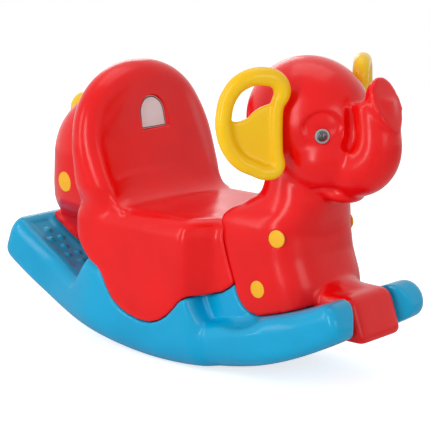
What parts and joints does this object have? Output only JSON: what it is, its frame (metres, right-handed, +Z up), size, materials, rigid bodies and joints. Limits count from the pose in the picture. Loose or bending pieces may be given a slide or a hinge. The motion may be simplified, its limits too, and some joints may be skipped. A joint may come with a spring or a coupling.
{
  "type": "rocking elephant",
  "caption": "Ride-on toy elephant on a curved rocker, with a seat with arched backrest, upright trunk, ears with hand holes, side foot rests and a ball tail",
  "frame": {"origin": "on the floor, under the middle of the rocker's contact facet at rest", "axes": "+X to the elephant's front, +Y to its left, +Z up"},
  "size_m": [0.8516, 0.406, 0.5561],
  "materials": {
    "red_moulding": "gloss",
    "blue_moulding": "gloss",
    "yellow_moulding": "gloss",
    "label_film": "satin",
    "eye_white": "gloss",
    "eye_black": "gloss",
    "eye_clear": "gloss",
    "zinc_steel": "satin"
  },
  "bodies": {
    "root": {"backrest_label": "label_film", "ear_left": "yellow_moulding", "ear_right": "yellow_moulding", "eye_dome_left": "eye_clear", "eye_dome_right": "eye_clear", "eye_pupil_left": "eye_black", "eye_pupil_right": "eye_black", "eye_ring_left": "eye_white", "eye_ring_right": "eye_white", "head_and_chest": "red_moulding", "plug_chest_lower_left": "yellow_moulding", "plug_chest_lower_right": "yellow_moulding", "plug_chest_upper_left": "yellow_moulding", "plug_chest_upper_right": "yellow_moulding", "plug_rump_left": "yellow_moulding", "plug_rump_right": "yellow_moulding", "rocker_base": "blue_moulding", "rump": "red_moulding", "screw_chest_lower_left": "zinc_steel", "screw_chest_lower_right": "zinc_steel", "screw_chest_upper_left": "zinc_steel", "screw_chest_upper_right": "zinc_steel", "screw_rump_left": "zinc_steel", "screw_rump_right": "zinc_steel", "seat": "red_moulding", "tail": "yellow_moulding"}
  },
  "joints": []
}
